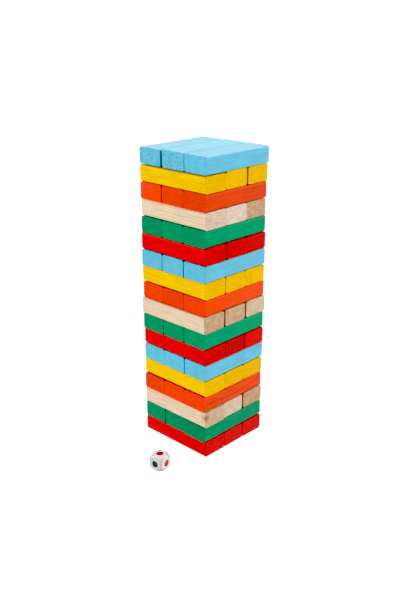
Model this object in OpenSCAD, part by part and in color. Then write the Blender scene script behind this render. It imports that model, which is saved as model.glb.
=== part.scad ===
// Tumbling tower: wooden blocks stacked three to a course, every course laid across
// the one below it, with a colour die lying in front of the stack.
// Millimetres, +Z up. The origin is under the middle of the stack, on the table.

/* [Blocks] */
// Length of a block, along its grain
block_length = 75; // [60:0.5:100]
// Width of a block, across its grain
block_width = 24.8; // [18:0.1:33]
// Thickness of a block
block_thickness = 14.7; // [10:0.1:22]
// Radius that the four long edges of a block are rounded to
edge_radius = 1.7; // [0.4:0.1:3]
// Radius that the edges round its sawn ends are eased to
end_radius = 0.1; // [0.1:0.1:1.5]
// How much thinner than the rest the loose blocks are
loose_trim = 0.6; // [0:0.1:1]

/* [Stack] */
// Number of courses in the stack
course_count = 18; // [2:1:18]
// Clearance between a course and the next, so that a block can be drawn out
seat_clearance = 0.05; // [0.02:0.01:0.3]
// Least clearance between two blocks of one course
side_clearance = 0.05; // [0.05:0.01:0.5]
// One step of the extra gap that two blocks were set down with
gap_step = 0.1; // [0:0.01:0.2]
// One step of how far a block was pushed along its length
push_step = 0.1; // [0:0.01:0.2]

/* [Die] */
// Distance across the flat faces of the die
die_size = 14; // [12:0.1:20]
// How much further the die's rounding ball reaches than its flat faces
die_corner_rise = 2.3; // [1:0.1:2.4]
// Diameter of the colour spot on each face
spot_diameter = 6; // [3:0.1:7]
// Depth of the dimple that a spot is painted in
spot_depth = 0.4; // [0.2:0.05:0.8]
// Room between the front of the stack and the nearest point of the die
die_room = 29; // [10:0.5:60]
// How far the die lies to the right of the middle of the stack
die_offset = 20.5; // [-60:0.5:60]
// Angle that the die is turned by on the table
die_turn = 9; // [-45:1:45]

/* [Hidden] */
$fn = 48;
blocks_per_course = 3;
colour_names = ["red", "green", "natural", "orange", "yellow", "blue"];
colour_values = ["#d8101a", "#089a5e", "#e6cfae", "#ee4a0e", "#f5c400", "#6cc3e2"];
places_across_y = ["front", "middle", "back"];
places_across_x = ["left", "middle", "right"];

// How the courses lie, from the bottom up. For each course: the extra gap between its first and
// second block, and between its second and third, in gap steps.
extra_gaps = [
    [0, 1], [11, 0], [0, 19], [0, 0], [0, 0], [0, 8],
    [0, 4], [3, 6], [21, 26], [0, 0], [1, 0], [4, 10],
    [14, 0], [0, 0], [0, 0], [4, 0], [0, 17], [24, 3]
];
// For each course: how far each of its blocks is pushed along its length, in push steps.
pushes = [
    [0, 0, 2], [5, 2, -6], [10, -2, -3], [-6, -5, -4], [0, 0, 0], [2, 2, 1],
    [2, 3, 5], [-4, -2, -3], [5, 2, -2], [-1, -1, 0], [-5, -2, -2], [-4, -3, -4],
    [-1, -1, -3], [-5, -4, -4], [0, -2, -5], [-5, -3, -3], [0, -1, 0], [3, 2, 3]
];

// The loose blocks, each given by its course and its place in the course, both counted from 0.
loose_blocks = [[16, 0], [17, 0]];

course_width = blocks_per_course * block_width + (blocks_per_course - 1) * side_clearance;
course_pitch = block_thickness + seat_clearance;
stack_width = max(block_length, course_width);
die_ball = die_size + 2 * die_corner_rise;
spot_ball_radius = (pow(spot_diameter / 2, 2) + pow(spot_depth, 2)) / (2 * spot_depth);

function runs_along_x(course) = course % 2 == 0;
function colour_of(course) = course % len(colour_names);
function extra(course, place) =
    place == 0 ? 0 : gap_step * extra_gaps[course][place - 1] + extra(course, place - 1);
function across(course, place) =
    (place - (blocks_per_course - 1) / 2) * (block_width + side_clearance)
    + extra(course, place) - extra(course, blocks_per_course - 1) / 2;
function push(course, place) = push_step * pushes[course][place];
function is_loose(course, place) = len([for (loose = loose_blocks) if (loose == [course, place]) loose]) > 0;
function thickness(course, place) = block_thickness - (is_loose(course, place) ? loose_trim : 0);
function two_digits(n) = n < 10 ? str("0", n) : str(n);
function place_name(course, place) = (runs_along_x(course) ? places_across_y : places_across_x)[place];
function block_name(course, place) = str(
    "course_", two_digits(course + 1), "_", colour_names[colour_of(course)], "_", place_name(course, place)
);

module rounded_rectangle(length, width, radius) {
    square([length - 2 * radius, width], center = true);
    square([length, width - 2 * radius], center = true);
    for (x = [-1, 1], y = [-1, 1])
        translate([x * (length / 2 - radius), y * (width / 2 - radius)]) circle(r = radius);
}

// A block lying flat with its length along X, centred on its own middle
module block_blank(thickness) {
    intersection() {
        rotate([90, 0, 90]) linear_extrude(height = block_length, center = true)
            rounded_rectangle(block_width, thickness, edge_radius);
        linear_extrude(height = thickness, center = true)
            rounded_rectangle(block_length, block_width, end_radius);
        rotate([90, 0, 0]) linear_extrude(height = block_width, center = true)
            rounded_rectangle(block_length, thickness, end_radius);
    }
}

module block(course, place) {
    along = push(course, place);
    aside = across(course, place);
    high = thickness(course, place);
    color(colour_values[colour_of(course)])
        translate([0, 0, course * course_pitch + high / 2])
            if (runs_along_x(course)) translate([along, aside, 0]) block_blank(high);
            else translate([aside, along, 0]) rotate([0, 0, 90]) block_blank(high);
}

// A cube with its corners turned down to a ball, and a dimple for the paint in each face
module die() {
    color("white")
        translate([die_offset, -(stack_width / 2 + die_room + die_ball / 2), die_size / 2])
            rotate([0, 0, die_turn])
                difference() {
                    intersection() {
                        cube(die_size, center = true);
                        sphere(d = die_ball);
                    }
                    for (turn = [[0, 0], [90, 0], [180, 0], [270, 0], [0, 90], [0, -90]])
                        rotate([turn[0], turn[1], 0])
                            translate([0, 0, die_size / 2 - spot_depth + spot_ball_radius])
                                sphere(r = spot_ball_radius);
                }
}

for (course = [0 : course_count - 1], place = [0 : blocks_per_course - 1])
    block(course, place);
die();
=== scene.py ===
# Looks of a tumbling tower: painted and bare wooden blocks laid crosswise, and a white colour die.
# Lengths are in metres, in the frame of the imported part. The pattern of the wood is in millimetres.
# Colours are linear. A span is the two values between which something rises from none to all.
import math
import random

import bpy
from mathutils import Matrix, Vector


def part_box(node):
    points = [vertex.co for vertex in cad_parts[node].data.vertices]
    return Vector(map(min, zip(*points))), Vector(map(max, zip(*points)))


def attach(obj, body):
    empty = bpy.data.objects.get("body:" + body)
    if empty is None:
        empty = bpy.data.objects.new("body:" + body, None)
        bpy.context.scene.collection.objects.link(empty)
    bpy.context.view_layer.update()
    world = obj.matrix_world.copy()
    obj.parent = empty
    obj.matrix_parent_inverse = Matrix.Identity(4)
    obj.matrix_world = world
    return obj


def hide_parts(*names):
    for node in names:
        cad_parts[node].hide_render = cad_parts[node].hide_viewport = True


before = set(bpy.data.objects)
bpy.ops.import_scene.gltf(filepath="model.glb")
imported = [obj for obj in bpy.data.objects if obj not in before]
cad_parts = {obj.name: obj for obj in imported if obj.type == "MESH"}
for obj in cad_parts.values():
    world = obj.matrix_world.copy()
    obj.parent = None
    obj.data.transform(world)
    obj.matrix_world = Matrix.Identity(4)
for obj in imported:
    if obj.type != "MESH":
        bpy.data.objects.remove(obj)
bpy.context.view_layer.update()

MM = 0.001
WHITE = (1, 1, 1, 1)

# Blocks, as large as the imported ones
BLOCK_LOW, BLOCK_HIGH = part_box("course_01_red_front")
BLOCK_SIZE = BLOCK_HIGH - BLOCK_LOW
EDGE_RADIUS = 1.7 * MM
EDGE_STEPS = 6
END_RADIUS = 0.1 * MM
END_STEPS = 2
CUT_SPACING = 2.5 * MM

# Wear of a block, which only takes wood away, and how far from its ends the paint chips
SANDING_WAVE = 10 * MM
SANDING_DEPTH = 0.05 * MM
DENT_LENGTH = 3.5 * MM
DENT_DEPTH = 0.25 * MM
TIP_LENGTH = 4 * MM

# Logs that the blocks were cut from, and how far from the middle of a log a block lay
LOG_LENGTH = 5000
LEAST_REACH = 20
MOST_REACH = 60

# Year rings: their width, how far they wander in rings, and when in a year they darken and end
RING_WIDTH = 2.6
RING_WANDER = 1.5
LATE_WOOD_SPAN = (0.35, 0.9)
YEAR_END_SPAN = (0.9, 1.0)

# Marks of the grain: the size of their patches along it and across it, and how detailed they are
MOTTLE = ((16, 6, 6), 2.0)
BAND = ((90, 3.5, 3.5), 2.0)
FLECK = ((9, 1.3, 1.3), 2.0)
FIBRE = ((14, 0.35, 0.35), 3.0)
PORE = ((40, 1.1, 1.1), 1.0)
PORE_SPAN = (0.66, 0.72)
PORE_OPENING = 0.08  # how much sooner pores show in open grain

# Wood of most blocks. Tone runs from light to dark. Coarse and streaky run from close to open
# grain, on the ends and on the sides.
TONES = (0.1, 0.5)
COARSENESS = (0.05, 0.3)
STREAKINESS = 0.1

# Blocks whose wood stands out. Soak runs from pale to brown ends on a block with no paint.
ODD_WOOD = {
    "course_02_green_left": {"tone": 0.5},
    "course_02_green_middle": {"tone": 0.6},
    "course_02_green_right": {"tone": 0.7},
    "course_03_natural_front": {"tone": 0.15, "soak": 0.6},
    "course_03_natural_middle": {"tone": 0.3, "soak": 0.25},
    "course_03_natural_back": {"tone": 0.9, "soak": 0.9},
    "course_04_orange_right": {"streaky": 1.0},
    "course_06_blue_middle": {"coarse": 0.6},
    "course_07_red_front": {"coarse": 0.8},
    "course_07_red_middle": {"tone": 0.7, "coarse": 0.7},
    "course_07_red_back": {"tone": 0.0},
    "course_08_green_right": {"tone": 0.0},
    "course_09_natural_front": {"tone": 0.1, "soak": 0.8},
    "course_09_natural_middle": {"tone": 0.9, "soak": 0.75},
    "course_09_natural_back": {"tone": 0.3, "soak": 0.35},
    "course_10_orange_left": {"coarse": 0.5},
    "course_10_orange_middle": {"coarse": 0.6},
    "course_12_blue_right": {"coarse": 0.6},
    "course_15_natural_front": {"tone": 0.0, "soak": 0.2},
    "course_15_natural_middle": {"tone": 0.1, "soak": 0.0},
    "course_15_natural_back": {"tone": 0.8, "soak": 0.85},
    "course_16_orange_right": {"tone": 0.65, "coarse": 0.6, "streaky": 0.2},
    "course_18_blue_left": {"coarse": 0.8},
    "course_18_blue_middle": {"coarse": 1.0},
}

# A knot, given from the middle of its block, and half its length along the grain and across it
KNOTS = {"course_03_natural_front": Vector((37.2, -12.0, 2.2))}
NO_KNOT = Vector((1000, 1000, 1000))
KNOT_SIZE = Vector((3.2, 2.6, 2.0))
KNOT_SPAN = (1.2, 2.0)
KNOT_EDGE_SPAN = (1.5, 3.5)

# How much light the blocks and the die mirror
SHINE = 0.25

# Paints: on the sides of a block, and on its ends, which soak up more of it
PAINTS = {
    "red": ((0.63, 0.003, 0.002, 1), (0.545, 0.004, 0.002, 1)),
    "green": ((0.002, 0.262, 0.114, 1), (0.002, 0.252, 0.101, 1)),
    "orange": ((0.69, 0.061, 0.007, 1), (0.74, 0.053, 0.004, 1)),
    "yellow": ((0.77, 0.475, 0.001, 1), (0.69, 0.395, 0.001, 1)),
    "blue": ((0.122, 0.445, 0.600, 1), (0.117, 0.474, 0.624, 1)),
}

# What paint shows of the wood under it, where it is rubbed thin and chipped, and its finish
PAINT_LIGHT = (1.58, 1.28)  # on light wood, on dark wood
PAINT_RINGS = (0.03, 0.06)  # on sides, on ends
PAINT_PORES = (0.06, 0.46)  # in close grain, in open grain
PAINT_STREAKS = {"fibre": 0.14, "fleck": 0.32, "band": 0.16, "mottle": 0.30}
RUBBED_PATCHES = 0.5
RUBBED_SPAN = (0.75, 1.25)
RUBBED_SHARE = 0.06
CHIPPED_SPAN = (1.25, 1.45)
CHIPPED_SHARE = 0.30
PAINT_ROUGHNESS = (0.28, 0.40)  # between fibres, on fibres
PAINT_RELIEF = 0.05 * MM
PAINT_PORE_RELIEF = 1.5

# Bare wood: its colours, how tan its marks make it, where handling keeps it clean, and its finish
PALE_WOOD = (0.735, 0.59, 0.43, 1)
TAN_WOOD = (0.525, 0.345, 0.196, 1)
DARK_WOOD = (0.28, 0.14, 0.06, 1)
CLEAN_WOOD = (0.86, 0.73, 0.56, 1)
PALE_END = (0.626, 0.540, 0.450, 1)
TAN_END = (0.395, 0.190, 0.050, 1)
SIDE_TAN = (-0.50, 0.30)  # of light wood, of dark wood
END_TAN = (-0.46, 0.19)  # of pale ends, of brown ends
WOOD_TAN = {"band": 0.50, "mottle": 0.60, "knot_edge": 0.50}
WOOD_RINGS = (0.25, 0.13)  # on sides, on ends
WOOD_PORES = (0.14, 0.49)  # in close grain, in open grain
WOOD_LIGHT = 1.25
WOOD_STREAKS = {"fibre": 0.20, "fleck": 0.28}
KNOT_SHARE = 0.8
CLEANED_PATCHES = 0.3
CLEANED_SPAN = (0.45, 0.85)
CLEANED_SHARE = 0.6
WOOD_ROUGHNESS = (0.55, 0.75)  # between fibres, on fibres
WOOD_RELIEF = 0.06 * MM

# Die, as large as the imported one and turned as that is
DIE_LOW, DIE_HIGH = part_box("die")
DIE_SIZE = DIE_HIGH.z - DIE_LOW.z
DIE_CENTRE = (DIE_LOW + DIE_HIGH) / 2
DIE_TURN = math.radians(9)
DIE_CORNER_RISE = 2.3 * MM
DIE_BALL_RADIUS = DIE_SIZE / 2 + DIE_CORNER_RISE
DIE_CUTS = 31
RIM_ROUNDING = 0.5 * MM
FLAT_FACING = 0.99  # least cosine between a face and the flat that it is part of
FLAT_DEPTH = 0.01 * MM  # how far below a flat a point still counts as on it
SMOOTH_ANGLE = math.radians(35)

# Dimples of the die, each a part of a ball
SPOT_RADIUS = 3 * MM
SPOT_DEPTH = 0.4 * MM
SPOT_BALL_RADIUS = (SPOT_RADIUS**2 + SPOT_DEPTH**2) / (2 * SPOT_DEPTH)
DIMPLE_STEPS = 6

# White plastic of the die, and painted shade that greys all of its corners but the one turned to the
# camera
DIE_WHITE = (0.63, 0.595, 0.585, 1)
DIE_LIGHT = (1.03, 0.97)  # in clear patches, in cloudy ones
CLOUD_PATCH = (4 * MM,) * 3
SCUFF_PATCH = (0.6 * MM,) * 3
CORNER_SHADE_PATCHES = 0.2
CORNER_SHADE_SPAN = (0.3, 1.0)
CORNER_SHADE_SHARE = 0.34
UNSHADED_CORNER = (1, -1, 1)
DIE_ROUGHNESS = (0.20, 0.36)  # between scuffs, on scuffs
DIE_RELIEF = 0.03 * MM

# Spots of the die: the way that each faces, and the enamel in its dimple
SPOTS = {
    "red": ((0, 0, 1), (0.42, 0.001, 0.018, 1)),
    "green": ((0, -1, 0), (0.010, 0.090, 0.042, 1)),
    "orange": ((1, 0, 0), (0.52, 0.060, 0.004, 1)),
    "blue": ((0, 1, 0), (0.03, 0.16, 0.30, 1)),
    "yellow": ((-1, 0, 0), (0.60, 0.35, 0.002, 1)),
    "natural": ((0, 0, -1), (0.40, 0.25, 0.13, 1)),
}
FACE_DIRECTIONS = [Vector(direction) for direction, enamel in SPOTS.values()]
ENAMEL_LIGHT = (1.08, 0.92)  # between brush strokes, on them
BRUSH_PATCH = (0.5 * MM,) * 3
# Painted shade in the dimples, darkest along their rims, in patches
RIM_SHADE_PATCHES = 0.2
RIM_SHADE_SPAN = (0.6, 1.0)
RIM_SHADE_SHARE = 0.70
ENAMEL_ROUGHNESS = (0.25, 0.40)  # between brush strokes, on them
ENAMEL_RELIEF = 0.02 * MM

# Camera, and how far its picture's black is pulled down
CAMERA_PLACE = Vector((446.4, -469.0, 372.6)) * MM
CAMERA_TURN = math.radians(43.88)
CAMERA_DIP = math.radians(20.63)
CAMERA_LENS = 46.7
BLACK_POINT = 0.055

# White paper under the stack
FLOOR_SIZE = 6
FLOOR_GREY = (0.05, 0.05, 0.05, 1)
FLOOR_GLOW = 1.2

# Light of the tent round the stack. The spans of its front and back are cosines of the angle to the
# middle of each, and those of its walls and ceiling are sines of the height.
SIDE_GLOW = 3.8
FRONT_GLOW = 0.3
FRONT_SPAN = (0.42, 0.92)
BACK_GLOW = 1.55
BACK_SPAN = (0.5, 0.95)
LOWER_GLOW = 1.3
WALL_SPAN = (-0.15, 0.05)
CEILING_GLOW = 0.05
CEILING_SPAN = (0.3, 0.75)

# The lamp high behind the stack, with a span of cosines too, and the small one above the die
LAMP_GLOW = 6.6
LAMP_DIRECTION = Vector((-0.1, 0.68, 0.70)).normalized()
LAMP_SPAN = (0.91, 0.97)
DIE_LAMP_HEIGHT = 300 * MM
DIE_LAMP_SIZE = 30 * MM
DIE_LAMP_SPREAD = math.radians(8)
DIE_LAMP_POWER = 0.0016


class Value:
    """A number that changes over a surface: a node's socket, with sums that add Math nodes."""

    def __init__(self, nodes, socket):
        self.nodes = nodes
        self.socket = socket

    def math(self, operation, first, second):
        return self.nodes.add("ShaderNodeMath", {"operation": operation}, {0: first, 1: second})

    def __add__(self, other):
        return self.math("ADD", self, other)

    def __radd__(self, other):
        return self.math("ADD", other, self)

    def __sub__(self, other):
        return self.math("SUBTRACT", self, other)

    def __rsub__(self, other):
        return self.math("SUBTRACT", other, self)

    def __mul__(self, other):
        return self.math("MULTIPLY", self, other)

    def __rmul__(self, other):
        return self.math("MULTIPLY", other, self)

    def __truediv__(self, other):
        return self.math("DIVIDE", self, other)

    def __rtruediv__(self, other):
        return self.math("DIVIDE", other, self)


class Nodes:
    """The nodes of one material, or of the world."""

    def __init__(self, tree):
        self.tree = tree
        self.tree.nodes.clear()

    def add(self, kind, settings, sockets, output=0):
        """Adds a node, sets it, fills or links its sockets and gives back one of its outputs."""
        node = self.tree.nodes.new(kind)
        for name, setting in settings.items():
            setattr(node, name, setting)
        for name, given in sockets.items():
            if isinstance(given, Value):
                self.tree.links.new(given.socket, node.inputs[name])
            else:
                node.inputs[name].default_value = given
        return Value(self, node.outputs[output]) if node.outputs else None

    def attribute(self, name, output):
        return self.add("ShaderNodeAttribute", {"attribute_name": name}, {}, output)

    def vector_math(self, operation, *vectors, output="Vector"):
        settings = {"operation": operation}
        return self.add("ShaderNodeVectorMath", settings, dict(enumerate(vectors)), output)

    def length(self, vector):
        return self.vector_math("LENGTH", vector, output="Value")

    def noise(self, place, patch, detail=2.0):
        """Soft noise from 0 to 1. Its patches measure patch along each direction."""
        stretched = self.vector_math("DIVIDE", place, patch)
        sockets = {"Vector": stretched, "Scale": 1.0, "Detail": detail}
        return self.add("ShaderNodeTexNoise", {}, sockets)

    def rise(self, value, low, high):
        """0 up to low, 1 from high on, and a smooth change between."""
        return self.add(
            "ShaderNodeMapRange",
            {"interpolation_type": "SMOOTHSTEP"},
            {"Value": value, "From Min": low, "From Max": high},
        )

    def mix(self, share, first, second):
        """The first colour, with that share of the second one in it."""
        return self.add("ShaderNodeMix", {"data_type": "RGBA"}, {0: share, 6: first, 7: second}, 2)

    def shade(self, colour, factor):
        """A colour made lighter or darker by a factor."""
        settings = {"data_type": "RGBA", "blend_type": "MULTIPLY"}
        return self.add("ShaderNodeMix", settings, {0: 1.0, 6: colour, 7: factor}, 2)

    def bump(self, height, depth):
        sockets = {"Strength": 1.0, "Distance": depth, "Height": height}
        return self.add("ShaderNodeBump", {}, sockets)

    def surface(self, **sockets):
        """Ends the material with one surface. Underlines stand for spaces in its sockets' names."""
        named = {name.replace("_", " "): given for name, given in sockets.items()}
        surface = self.add("ShaderNodeBsdfPrincipled", {}, named)
        self.add("ShaderNodeOutputMaterial", {}, {"Surface": surface})


def between(first, second, share):
    """The first number, moved by that share of the way to the second one."""
    return first + (second - first) * share


def new_material(name):
    """An empty material and its nodes."""
    material = bpy.data.materials.new(name)
    material.use_nodes = True
    return material, Nodes(material.node_tree)


class Grain:
    """What the wood of a block shows at a point, from what model_block and give_wood write."""

    def __init__(self, nodes):
        place = nodes.attribute("grain", "Vector")
        self.tone = nodes.attribute("tone", "Fac")
        self.soak = nodes.attribute("soak", "Fac")
        self.end = nodes.attribute("end", "Fac")
        streaky = nodes.attribute("streaky", "Fac")
        coarse = nodes.attribute("coarse", "Fac")
        self.open = between(streaky, coarse, self.end)
        self.rounding = nodes.attribute("rounding", "Fac")
        self.tip = nodes.attribute("tip", "Fac")
        self.mottle = nodes.noise(place, *MOTTLE)
        self.band = nodes.noise(place, *BAND)
        self.fleck = nodes.noise(place, *FLECK)
        self.fibre = nodes.noise(place, *FIBRE)
        self.pore = nodes.rise(nodes.noise(place, *PORE) + PORE_OPENING * self.open, *PORE_SPAN)
        across = nodes.vector_math("MULTIPLY", place, (0, 1, 1))
        years = nodes.length(across) / RING_WIDTH + RING_WANDER * self.mottle
        season = nodes.add("ShaderNodeMath", {"operation": "FRACT"}, {0: years})
        self.ring = nodes.rise(season, *LATE_WOOD_SPAN) - nodes.rise(season, *YEAR_END_SPAN)
        from_knot = nodes.length(nodes.attribute("knot", "Vector"))
        self.knot = 1 - nodes.rise(from_knot + self.mottle + self.fibre, *KNOT_SPAN)
        self.knot_edge = 1 - nodes.rise(from_knot + 2 * self.mottle, *KNOT_EDGE_SPAN)

    def marks(self, shares):
        """The marks that shares names, each with its share, added up."""
        shown = [share * getattr(self, mark) for mark, share in shares.items()]
        return sum(shown[1:], shown[0])


def paint_wood(colour):
    """Thin paint that lets the grain show, rubbed lighter along the long edges and their tips."""
    material, nodes = new_material(f"{colour}_paint")
    wood = Grain(nodes)
    side_paint, end_paint = PAINTS[colour]
    paint = nodes.mix(wood.end, side_paint, end_paint)
    rubbed = nodes.rise(wood.rounding + RUBBED_PATCHES * wood.mottle, *RUBBED_SPAN)
    chipped = nodes.rise(wood.tip + wood.mottle, *CHIPPED_SPAN)
    worn = nodes.mix(RUBBED_SHARE * rubbed + CHIPPED_SHARE * chipped, paint, PALE_WOOD)
    light = between(*PAINT_LIGHT, wood.tone)
    rings = between(*PAINT_RINGS, wood.end) * wood.ring
    pores = between(*PAINT_PORES, wood.open) * wood.pore
    relief = wood.fibre - PAINT_PORE_RELIEF * wood.open * wood.pore
    nodes.surface(
        Base_Color=nodes.shade(worn, light - (wood.marks(PAINT_STREAKS) + rings) - pores),
        Roughness=between(*PAINT_ROUGHNESS, wood.fibre),
        Specular_IOR_Level=SHINE,
        Normal=nodes.bump(relief, PAINT_RELIEF),
    )
    return material


def bare_wood():
    """Sanded wood with no finish: pale, with tan rings, and darker where it is cut across."""
    material, nodes = new_material("bare_wood")
    wood = Grain(nodes)
    tan = wood.marks(WOOD_TAN) + between(*WOOD_RINGS, wood.end) * wood.ring
    side = nodes.mix(between(*SIDE_TAN, wood.tone) + tan, PALE_WOOD, TAN_WOOD)
    end = nodes.mix(between(*END_TAN, wood.soak) + tan, PALE_END, TAN_END)
    plain = nodes.mix(wood.end, side, end)
    rubbed = nodes.rise(wood.rounding + CLEANED_PATCHES * wood.mottle, *CLEANED_SPAN)
    cleaned = nodes.mix(CLEANED_SHARE * rubbed, plain, CLEAN_WOOD)
    pores = between(*WOOD_PORES, wood.open) * wood.pore
    streaked = nodes.mix(pores + KNOT_SHARE * wood.knot, cleaned, DARK_WOOD)
    nodes.surface(
        Base_Color=nodes.shade(streaked, WOOD_LIGHT - wood.marks(WOOD_STREAKS)),
        Roughness=between(*WOOD_ROUGHNESS, wood.fibre),
        Specular_IOR_Level=SHINE,
        Normal=nodes.bump(wood.fibre - wood.pore, WOOD_RELIEF),
    )
    return material


def die_plastic():
    """Glossy white plastic, slightly cloudy and faintly scuffed, with painted shade greying its
    corners.
    """
    material, nodes = new_material("die_plastic")
    place = nodes.add("ShaderNodeTexCoord", {}, {}, "Object")
    cloud = nodes.noise(place, CLOUD_PATCH)
    scuff = nodes.noise(place, SCUFF_PATCH)
    # Painted shade: greys the corners of the die, all but the one turned to the camera
    corner_shade = nodes.rise(nodes.attribute("corner", "Fac") + CORNER_SHADE_PATCHES * cloud, *CORNER_SHADE_SPAN)
    nodes.surface(
        Base_Color=nodes.shade(DIE_WHITE, between(*DIE_LIGHT, cloud) - CORNER_SHADE_SHARE * corner_shade),
        Roughness=between(*DIE_ROUGHNESS, scuff),
        Specular_IOR_Level=SHINE,
        Normal=nodes.bump(cloud, DIE_RELIEF),
    )
    return material


def spot_enamel(name, colour):
    """Enamel brushed into a dimple of the die, with painted shade darkening it along the dimple's
    rim.
    """
    material, nodes = new_material(f"{name}_enamel")
    place = nodes.add("ShaderNodeTexCoord", {}, {}, "Object")
    brush = nodes.noise(place, BRUSH_PATCH)
    # Painted shade: darkens the enamel towards the rim of its dimple
    rim = nodes.rise(nodes.attribute("rim", "Fac") + RIM_SHADE_PATCHES * brush, *RIM_SHADE_SPAN)
    nodes.surface(
        Base_Color=nodes.shade(colour, between(*ENAMEL_LIGHT, brush) - RIM_SHADE_SHARE * rim),
        Roughness=between(*ENAMEL_ROUGHNESS, brush),
        Specular_IOR_Level=SHINE,
        Normal=nodes.bump(brush, ENAMEL_RELIEF),
    )
    return material


def pick(piece):
    """Makes one piece the only selected and active one."""
    bpy.ops.object.select_all(action="DESELECT")
    piece.select_set(True)
    bpy.context.view_layer.objects.active = piece


def select_none(kind):
    """Readies the active piece for selecting its vertices, edges or faces in code."""
    bpy.ops.object.mode_set(mode="EDIT")
    bpy.ops.mesh.select_mode(type=kind)
    bpy.ops.mesh.select_all(action="DESELECT")
    bpy.ops.object.mode_set(mode="OBJECT")


def add_attribute(piece, name, kind, values):
    attribute = piece.data.attributes.new(name, kind, "POINT")
    attribute.data.foreach_set("vector" if kind == "FLOAT_VECTOR" else "value", values)


def cut_across(axis):
    """Cuts a block into slices along one axis, about the cut spacing thick, and keeps them all."""
    half = BLOCK_SIZE[axis] / 2 - EDGE_RADIUS
    slices = round(2 * half / CUT_SPACING)
    for cut in range(slices + 1):
        place = Vector()
        place[axis] = -half + 2 * half * cut / slices
        direction = Vector()
        direction[axis] = 1
        bpy.ops.mesh.select_all(action="SELECT")
        bpy.ops.mesh.bisect(plane_co=place, plane_no=direction)


def round_edges(piece, wanted, radius, steps):
    """Rounds the edges of a piece whose two end points are wanted."""
    select_none("EDGE")
    for edge in piece.data.edges:
        edge.select = wanted(*(piece.data.vertices[index].co for index in edge.vertices))
    bpy.ops.object.mode_set(mode="EDIT")
    bpy.ops.mesh.bevel(offset=radius, segments=steps)


def nearness(depth, reach):
    """1 at no depth, and 0 from the reach on."""
    return max(0, 1 - depth / reach)


def model_block():
    """The block that the others are copied from, lying along X round the origin."""
    bpy.ops.object.select_all(action="DESELECT")
    bpy.ops.mesh.primitive_cube_add(size=1, scale=BLOCK_SIZE)
    block = bpy.context.active_object
    round_edges(block, lambda first, second: first.x * second.x < 0, EDGE_RADIUS, EDGE_STEPS)
    round_edges(block, lambda first, second: first.x * second.x > 0, END_RADIUS, END_STEPS)
    for axis in range(3):
        cut_across(axis)
    bpy.ops.object.mode_set(mode="OBJECT")
    bpy.ops.object.shade_smooth()

    edges = block.vertex_groups.new(name="edges")
    marks = {"rounding": [], "tip": [], "end": []}
    for vertex in block.data.vertices:
        depths = [size / 2 - abs(place) for size, place in zip(BLOCK_SIZE, vertex.co)]
        rounding = nearness(max(depths[1:]), EDGE_RADIUS)
        marks["rounding"].append(rounding)
        marks["tip"].append(rounding * nearness(depths[0], TIP_LENGTH))
        marks["end"].append(nearness(depths[0], END_RADIUS))
        edges.add([vertex.index], rounding, "REPLACE")
    for name, values in marks.items():
        add_attribute(block, name, "FLOAT", values)
    return block


def give_wood(piece, node):
    """Writes where in a log a block was cut, and how its wood differs from the next block's."""
    chance = random.Random(node)
    reach = chance.uniform(LEAST_REACH, MOST_REACH)
    side = chance.uniform(0, 2 * math.pi)
    along = chance.uniform(0, LOG_LENGTH)
    middle = Vector((along, reach * math.cos(side), reach * math.sin(side)))
    turned = Vector((chance.choice((-1, 1)), chance.choice((-1, 1)), chance.choice((-1, 1))))
    traits = {
        "tone": chance.uniform(*TONES),
        "coarse": chance.uniform(*COARSENESS),
        "streaky": STREAKINESS,
    }
    traits.update(ODD_WOOD.get(node, {}))
    traits.setdefault("soak", traits["tone"])
    for name, trait in traits.items():
        add_attribute(piece, name, "FLOAT", [trait] * len(piece.data.vertices))

    knot = KNOTS.get(node, NO_KNOT)
    places = []
    knot_places = []
    for vertex in piece.data.vertices:
        place = vertex.co / MM
        places.extend(middle + turned * place)
        knot_places.extend((a - b) / half for a, b, half in zip(place, knot, KNOT_SIZE))
    add_attribute(piece, "grain", "FLOAT_VECTOR", places)
    add_attribute(piece, "knot", "FLOAT_VECTOR", knot_places)


def clouds(name, length):
    """A soft pattern whose patches have that length."""
    pattern = bpy.data.textures.new(name, "CLOUDS")
    pattern.noise_scale = length
    return pattern


def wear_down(piece, pattern, depth, group):
    """Takes up to that depth off a piece, in patches, within a vertex group if one is named."""
    displace = piece.modifiers.new("wear", "DISPLACE")
    displace.texture = pattern
    displace.texture_coords = "LOCAL"
    displace.vertex_group = group
    displace.mid_level = 0
    displace.strength = -depth
    bpy.ops.object.modifier_apply(modifier=displace.name)


def colour_of(node):
    """The colour in a block's name, such as red in course_01_red_front."""
    return node.split("_")[2]


def lay_block(block, node, material, patterns):
    """Copies the block to where a packed one lies, wears it down and lets it stand for that one."""
    piece = block.copy()
    piece.data = block.data.copy()
    piece.name = node.replace("course", "block")
    piece.data.name = piece.name
    bpy.context.scene.collection.objects.link(piece)
    pick(piece)
    give_wood(piece, node)

    low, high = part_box(node)
    piece.location = (low + high) / 2
    piece.scale.z = (high.z - low.z) / BLOCK_SIZE.z
    if high.y - low.y > high.x - low.x:
        piece.rotation_euler.z = math.pi / 2
    bpy.ops.object.transform_apply(location=True, rotation=True, scale=True)
    wear_down(piece, patterns["sanding"], SANDING_DEPTH, "")
    wear_down(piece, patterns["dents"], DENT_DEPTH, "edges")
    shading = piece.modifiers.new("shading", "WEIGHTED_NORMAL")
    bpy.ops.object.modifier_apply(modifier=shading.name)

    piece.data.materials.append(material)
    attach(piece, node)
    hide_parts(node)


def lay_blocks():
    """All blocks of the stack, in the finish that their names give."""
    finishes = {colour: paint_wood(colour) for colour in PAINTS}
    finishes["natural"] = bare_wood()
    patterns = {"sanding": clouds("sanding", SANDING_WAVE), "dents": clouds("dents", DENT_LENGTH)}
    block = model_block()
    for node in sorted(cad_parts):
        if node != "die":
            lay_block(block, node, finishes[colour_of(node)], patterns)
    bpy.data.objects.remove(block)


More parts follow.
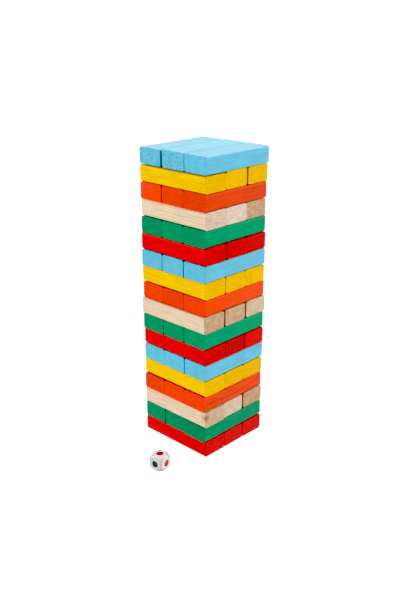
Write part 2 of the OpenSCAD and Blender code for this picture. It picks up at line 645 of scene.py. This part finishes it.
def model_die():
    """A ball cut flat on six sides, with a dimple in each flat."""
    bpy.ops.object.select_all(action="DESELECT")
    bpy.ops.mesh.primitive_cube_add(size=DIE_SIZE)
    die = bpy.context.active_object
    die.name = "colour_die"
    bpy.ops.object.mode_set(mode="EDIT")
    bpy.ops.mesh.select_all(action="SELECT")
    bpy.ops.mesh.subdivide(number_cuts=DIE_CUTS)
    bpy.ops.object.mode_set(mode="OBJECT")
    cast = die.modifiers.new("ball", "CAST")
    cast.factor = 1
    cast.use_radius_as_size = False
    cast.size = DIE_BALL_RADIUS
    bpy.ops.object.modifier_apply(modifier=cast.name)

    bpy.ops.object.mode_set(mode="EDIT")
    for direction in FACE_DIRECTIONS:
        bpy.ops.mesh.select_all(action="SELECT")
        flat = direction * DIE_SIZE / 2
        bpy.ops.mesh.bisect(plane_co=flat, plane_no=direction, use_fill=True, clear_outer=True)
    for direction in FACE_DIRECTIONS:
        press_dimple(die, direction)
    rub_rims(die)
    bpy.ops.object.shade_smooth_by_angle(angle=SMOOTH_ANGLE)
    return die


def press_dimple(die, direction):
    """Levels one flat of the die, draws a round spot on it and presses it in as part of a ball."""
    select_none("FACE")
    facing = [face for face in die.data.polygons if face.normal.dot(direction) > FLAT_FACING]
    flat = max(facing, key=lambda face: face.area)
    flat.select = True
    radius = math.sqrt(flat.area / math.pi)
    bpy.ops.object.mode_set(mode="EDIT")
    level = direction * DIE_SIZE / 2
    bpy.ops.transform.resize(value=[1 - abs(part) for part in direction], center_override=level)

    rings = [(radius - RIM_ROUNDING, 0)]
    for step in range(DIMPLE_STEPS):
        ring_radius = SPOT_RADIUS * (1 - step / DIMPLE_STEPS)
        ring_height = math.sqrt(SPOT_BALL_RADIUS**2 - ring_radius**2)
        rings.append((ring_radius, ring_height - (SPOT_BALL_RADIUS - SPOT_DEPTH)))
    depth = 0
    for next_radius, next_depth in rings:
        sink = {"value": direction * (depth - next_depth)}
        bpy.ops.mesh.extrude_region_move(TRANSFORM_OT_translate=sink)
        middle = level - direction * next_depth
        bpy.ops.transform.resize(value=(next_radius / radius,) * 3, center_override=middle)
        radius = next_radius
        depth = next_depth
    bpy.ops.object.mode_set(mode="OBJECT")


def rub_rims(die):
    """Rubs down the rims between the ball of the die and its flats."""
    select_none("VERT")
    for vertex in die.data.vertices:
        on_flat = max(abs(part) for part in vertex.co) > DIE_SIZE / 2 - FLAT_DEPTH
        vertex.select = on_flat and vertex.co.length > DIE_BALL_RADIUS - RIM_ROUNDING / 2
    bpy.ops.object.mode_set(mode="EDIT")
    bpy.ops.mesh.vertices_smooth(factor=0.5, repeat=2)
    bpy.ops.object.mode_set(mode="OBJECT")


def mark_rims(die):
    """Writes how far each point lies from the middle of its face. It is 1 on a dimple's rim."""
    rims = []
    for vertex in die.data.vertices:
        height = max(abs(part) for part in vertex.co)
        rims.append(math.sqrt(vertex.co.length_squared - height**2) / SPOT_RADIUS)
    add_attribute(die, "rim", "FLOAT", rims)


def mark_corners(die):
    """Writes how far out on a corner each point lies, for the painted shade there. The corner turned
    to the camera gets none.
    """
    corners = []
    for vertex in die.data.vertices:
        unshaded = all(part * side > 0 for part, side in zip(vertex.co, UNSHADED_CORNER))
        least = min(abs(part) for part in vertex.co)
        corners.append(0 if unshaded else least * math.sqrt(3) / DIE_BALL_RADIUS)
    add_attribute(die, "corner", "FLOAT", corners)


def place_die():
    """The die in its finish, beside the stack."""
    die = model_die()
    mark_rims(die)
    mark_corners(die)
    die.data.materials.append(die_plastic())
    for name, (direction, enamel) in SPOTS.items():
        die.data.materials.append(spot_enamel(name, enamel))
    for face in die.data.polygons:
        for slot, direction in enumerate(FACE_DIRECTIONS, start=1):
            height = face.center.dot(direction)
            off_axis = face.center - direction * height
            if height > 0 and off_axis.length < SPOT_RADIUS:
                face.material_index = slot

    pick(die)
    die.location = DIE_CENTRE
    die.rotation_euler.z = DIE_TURN
    bpy.ops.object.transform_apply(location=True, rotation=True, scale=True)
    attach(die, "die")
    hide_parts("die")


def lay_floor():
    """A wide white floor, as paper lit from below is. The tent's lower half lights the stack."""
    bpy.ops.object.select_all(action="DESELECT")
    bpy.ops.mesh.primitive_plane_add(size=FLOOR_SIZE)
    floor = bpy.context.active_object
    floor.name = "floor"
    material, nodes = new_material("white_paper")
    nodes.surface(
        Base_Color=FLOOR_GREY,
        Roughness=0.9,
        Specular_IOR_Level=0.0,
        Emission_Color=WHITE,
        Emission_Strength=FLOOR_GLOW,
    )
    floor.data.materials.append(material)
    floor.visible_diffuse = False
    floor.visible_glossy = False
    floor.visible_shadow = False


def light_studio():
    """Light as inside a tent that is lit from its sides, with a lamp high at its back.

    To the camera the tent itself shows as white as the floor.
    """
    world = bpy.data.worlds.new("studio")
    world.use_nodes = True
    bpy.context.scene.world = world
    nodes = Nodes(world.node_tree)
    direction = nodes.add("ShaderNodeTexCoord", {}, {}, "Generated")
    height = nodes.add("ShaderNodeSeparateXYZ", {}, {0: direction}, "Z")
    to_camera = (CAMERA_PLACE * Vector((1, 1, 0))).normalized()
    facing = nodes.vector_math("DOT_PRODUCT", direction, to_camera, output="Value")
    to_lamp = nodes.vector_math("DOT_PRODUCT", direction, LAMP_DIRECTION, output="Value")
    walls = between(SIDE_GLOW, BACK_GLOW, nodes.rise(0 - facing, *BACK_SPAN))
    walls = between(LOWER_GLOW, walls, nodes.rise(height, *WALL_SPAN))
    walls = between(walls, FRONT_GLOW, nodes.rise(facing, *FRONT_SPAN))
    glow = between(walls, CEILING_GLOW, nodes.rise(height, *CEILING_SPAN))
    glow = between(glow, LAMP_GLOW, nodes.rise(to_lamp, *LAMP_SPAN))
    seen = nodes.add("ShaderNodeLightPath", {}, {}, "Is Camera Ray")
    shown = between(glow, FLOOR_GLOW, seen)
    tent = nodes.add("ShaderNodeBackground", {}, {"Color": WHITE, "Strength": shown})
    nodes.add("ShaderNodeOutputWorld", {}, {"Surface": tent})


def light_die():
    """A small lamp straight above the die, which lies in the shadow of the stack."""
    place = (DIE_CENTRE.x, DIE_CENTRE.y, DIE_LAMP_HEIGHT)
    bpy.ops.object.light_add(type="AREA", location=place)
    lamp = bpy.context.active_object
    lamp.name = "die_lamp"
    lamp.data.shape = "DISK"
    lamp.data.size = DIE_LAMP_SIZE
    lamp.data.spread = DIE_LAMP_SPREAD
    lamp.data.energy = DIE_LAMP_POWER
    lamp.visible_camera = False


def place_camera():
    """The camera, in front of the near corner of the stack and looking down on it."""
    turn = (math.pi / 2 - CAMERA_DIP, 0, CAMERA_TURN)
    bpy.ops.object.camera_add(location=CAMERA_PLACE, rotation=turn)
    scene = bpy.context.scene
    scene.camera = bpy.context.active_object
    scene.camera.data.lens = CAMERA_LENS
    scene.view_settings.view_transform = "Standard"
    scene.view_settings.use_curve_mapping = True
    scene.view_settings.curve_mapping.black_level = (BLACK_POINT,) * 3
    scene.view_settings.curve_mapping.update()


lay_blocks()
place_die()
lay_floor()
light_studio()
light_die()
place_camera()
